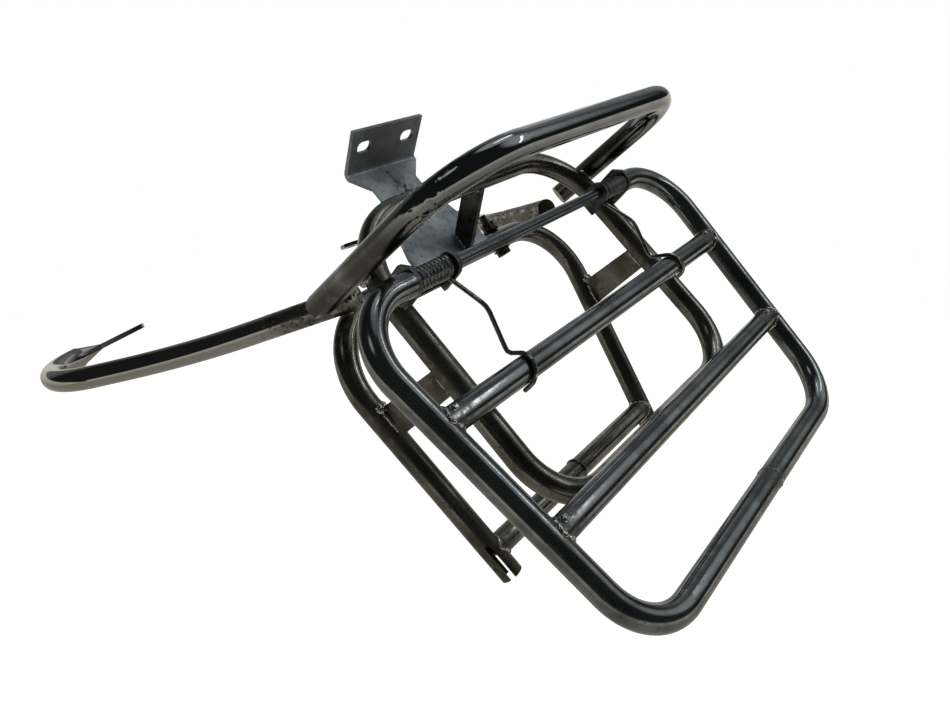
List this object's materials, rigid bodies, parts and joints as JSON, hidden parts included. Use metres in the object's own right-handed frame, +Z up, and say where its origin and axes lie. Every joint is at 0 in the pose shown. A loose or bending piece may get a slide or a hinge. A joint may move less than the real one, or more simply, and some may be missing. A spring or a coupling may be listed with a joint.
{
  "type": "motorcycle luggage rack",
  "caption": "Folding rear luggage rack of bent chromed tube, with a sprung platform on a ring, a support loop, side arms and a slotted mounting bracket.",
  "frame": {"origin": "midway between the two slots, on the underside of the mounting bracket's flange", "axes": "+Z up, square to the flange, +Y to the back, towards the side arms' tips, +X to the right when looking along +Y, along the hinge line"},
  "size_m": [0.4548, 0.3138, 0.4884],
  "materials": {
    "worn_chrome": "worn bright chrome plating with fine scratches",
    "dark_chrome": "darker chrome plating, smooth",
    "patinated_chrome": "dulled chrome plating with a brown patina",
    "zinc_sheet": "zinc-coated sheet with a rust spot",
    "dark_steel": "dull dark steel",
    "spring_steel": "oiled spring wire",
    "fastener_steel": "plain dark fastener"
  },
  "bodies": {
    "frame": {"ring": "patinated_chrome", "support_loop": "patinated_chrome", "loop_cross_tube": "patinated_chrome", "gusset_right": "patinated_chrome", "gusset_left": "patinated_chrome", "hoop": "worn_chrome", "arm_right": "worn_chrome", "arm_left": "worn_chrome", "mount_bracket": "zinc_sheet", "stay": "dark_steel", "hinge_bracket_right": "dark_steel", "hinge_bracket_left": "dark_steel", "cross_bolt": "fastener_steel", "cross_nut": "fastener_steel", "cross_washers": "fastener_steel"},
    "platform": {"platform_tube": "dark_chrome", "crossbar_inner": "dark_chrome", "crossbar_outer": "dark_chrome", "hinge_rod": "dark_steel", "spacer_sleeve": "dark_steel", "torsion_spring": "spring_steel", "left_wire": "spring_steel"}
  },
  "joints": [
    {"name": "platform_hinge", "type": "hinge", "parent": "frame", "child": "platform", "pos_m": [0, -0.00568, 0.1376], "axis": [1, 0, 0], "range_deg": [0, 85], "stiffness_Nm_per_rad": 2.1, "springref_deg": -14.32}
  ]
}
